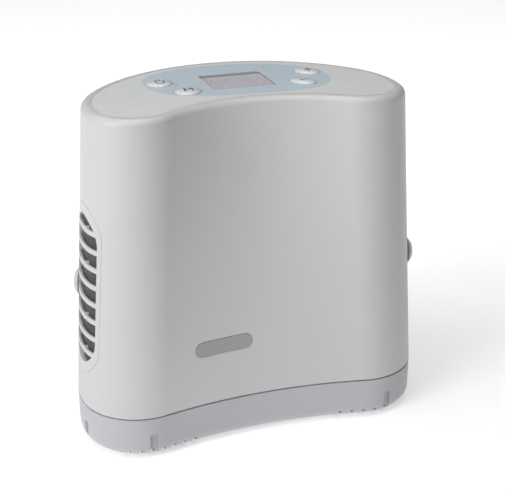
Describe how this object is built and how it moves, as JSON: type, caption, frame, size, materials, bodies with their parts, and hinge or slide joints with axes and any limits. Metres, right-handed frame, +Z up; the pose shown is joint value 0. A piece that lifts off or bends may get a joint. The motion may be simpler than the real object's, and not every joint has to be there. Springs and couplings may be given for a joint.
{
  "type": "oxygen concentrator",
  "caption": "Portable oxygen concentrator: bean-shaped housing with a keypad top, slotted side intake, clip-on battery base and a compressor with sieve beds inside.",
  "frame": {"origin": "centre of the footprint, on the surface the feet stand on", "axes": "+Z up, +X along the width towards the user's right when they face the concave side, +Y away from the concave side"},
  "size_m": [0.2402, 0.1388, 0.2329],
  "materials": {
    "housing_white": "satin moulded plastic",
    "filter_mesh": "woven mesh",
    "panel_label": "printed label with a blue-grey field",
    "clear_lens": "clear",
    "badge_grey": "blank plate",
    "stud_grey": "moulded",
    "steel": "plain",
    "outlet_metal": "plated",
    "black_plastic": "moulded",
    "inner_grey": "moulded",
    "rubber_black": "moulded",
    "cast_alloy": "die cast",
    "motor_black": "painted",
    "laminations": "stacked sheet",
    "bed_aluminium": "drawn",
    "sensor_blue": "moulded",
    "copper_tube": "copper",
    "board_green": "circuit board",
    "display_glass": "unlit display",
    "silicone": "translucent silicone",
    "filter_foam": "open-cell foam",
    "key_white": "semi-gloss dome with a printed symbol",
    "battery_grey": "satin moulded plastic",
    "rubber_grey": "moulded",
    "cell_wrap": "shrink wrap",
    "contact_metal": "gilt",
    "latch_grey": "satin moulded plastic",
    "piston_alloy": "machined"
  },
  "bodies": {
    "housing": {"main_housing": "housing_white", "exhaust_grille": "housing_white", "exhaust_screen": "filter_mesh", "panel_overlay": "panel_label", "lcd_lens": "clear_lens", "status_lens": "clear_lens", "front_badge": "badge_grey", "strap_stud_left": "stud_grey", "strap_stud_right": "stud_grey", "strap_stud_nuts": "steel", "oxygen_outlet": "outlet_metal", "outlet_nut": "steel", "dc_inlet": "black_plastic", "base_deck": "inner_grey", "deck_screws": "steel", "deck_contacts": "black_plastic", "compressor_mounts": "rubber_black", "compressor_crankcase": "cast_alloy", "main_bearings": "steel", "motor_can": "motor_black", "motor_stator": "laminations", "cylinder_head_left": "cast_alloy", "cylinder_head_right": "cast_alloy", "sieve_bed_left": "bed_aluminium", "sieve_bed_right": "bed_aluminium", "valve_manifold": "inner_grey", "solenoid_valves": "black_plastic", "oxygen_tank": "bed_aluminium", "exhaust_muffler": "black_plastic", "oxygen_sensor": "sensor_blue", "heat_exchanger_coil": "copper_tube", "fan_frame": "black_plastic", "main_board": "board_green", "display_board": "board_green", "lcd_module": "display_glass", "key_switches": "black_plastic", "tubing": "silicone"},
    "intake_cover": {"intake_grille": "housing_white", "intake_filter": "filter_foam"},
    "power_key": {"power_key": "key_white"},
    "mode_key": {"mode_key": "key_white"},
    "plus_key": {"plus_key": "key_white"},
    "minus_key": {"minus_key": "key_white"},
    "battery": {"battery_tray": "battery_grey", "foot_pads": "rubber_grey", "battery_lid": "inner_grey", "battery_screws": "steel", "battery_cells": "cell_wrap", "cell_holder": "black_plastic", "battery_board": "board_green", "battery_contacts": "contact_metal", "latch_spring": "steel"},
    "battery_latch": {"battery_latch": "latch_grey"},
    "crank": {"crankshaft": "steel", "motor_rotor": "laminations"},
    "pistons": {"piston_left": "piston_alloy", "piston_right": "piston_alloy", "piston_yoke": "piston_alloy"},
    "fan": {"fan_impeller": "black_plastic"}
  },
  "joints": [
    {"name": "battery_drop", "type": "slide", "parent": "housing", "child": "battery", "axis": [0, 0, -1], "range_m": [0, 0.06]},
    {"name": "battery_latch_press", "type": "slide", "parent": "battery", "child": "battery_latch", "axis": [0, -1, 0], "range_m": [0, 0.0035], "stiffness_N_per_m": 800, "deforming": ["latch_spring"]},
    {"name": "power_key_press", "type": "slide", "parent": "housing", "child": "power_key", "axis": [0, 0, -1], "range_m": [0, 0.001], "stiffness_N_per_m": 1500},
    {"name": "mode_key_press", "type": "slide", "parent": "housing", "child": "mode_key", "axis": [0, 0, -1], "range_m": [0, 0.001], "stiffness_N_per_m": 1500},
    {"name": "plus_key_press", "type": "slide", "parent": "housing", "child": "plus_key", "axis": [0, 0, -1], "range_m": [0, 0.001], "stiffness_N_per_m": 1500},
    {"name": "minus_key_press", "type": "slide", "parent": "housing", "child": "minus_key", "axis": [0, 0, -1], "range_m": [0, 0.001], "stiffness_N_per_m": 1500},
    {"name": "intake_cover_pull", "type": "slide", "parent": "housing", "child": "intake_cover", "axis": [-1, 0, 0], "range_m": [0, 0.03]},
    {"name": "crank_turn", "type": "hinge", "parent": "housing", "child": "crank", "pos_m": [0, 0.01, 0.086], "axis": [0, 1, 0], "continuous": true},
    {"name": "piston_stroke", "type": "slide", "parent": "housing", "child": "pistons", "axis": [1, 0, 0], "range_m": [-0.003, 0.003]},
    {"name": "fan_turn", "type": "hinge", "parent": "housing", "child": "fan", "pos_m": [0, 0.01, 0.131], "axis": [0, 0, 1], "continuous": true}
  ]
}
